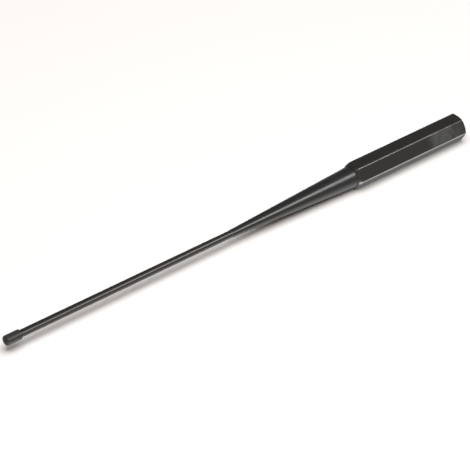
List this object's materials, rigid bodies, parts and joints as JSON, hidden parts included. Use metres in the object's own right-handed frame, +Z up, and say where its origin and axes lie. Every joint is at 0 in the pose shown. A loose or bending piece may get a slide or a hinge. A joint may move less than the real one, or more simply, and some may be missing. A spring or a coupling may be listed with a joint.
{
  "type": "center punch",
  "caption": "Long center punch with a hexagonal striking handle, a tapered shank, a slim rod with a ground point, and a pull-off cap over the point.",
  "frame": {"origin": "on the surface that the tool lies on, below the middle of its length, cap included", "axes": "+X along the tool's axis towards the striking face, +Z up, away from the flat of the handle that it lies on"},
  "size_m": [0.3513, 0.018, 0.016],
  "materials": {
    "handle_steel": "drawn hexagonal bar, black oxide, oiled",
    "shank_steel": "fine turned, black oxide, oiled",
    "rod_steel": "ground rod, black oxide, oiled",
    "cap_vinyl": "matte dip-moulded vinyl"
  },
  "bodies": {
    "punch": {"striking_handle": "handle_steel", "tapered_shank": "shank_steel", "punch_rod": "rod_steel"},
    "cap": {"tip_cap": "cap_vinyl"}
  },
  "joints": [
    {"name": "cap_slide", "type": "slide", "parent": "punch", "child": "cap", "axis": [-1, 0, 0], "range_m": [0, 0.03]}
  ]
}
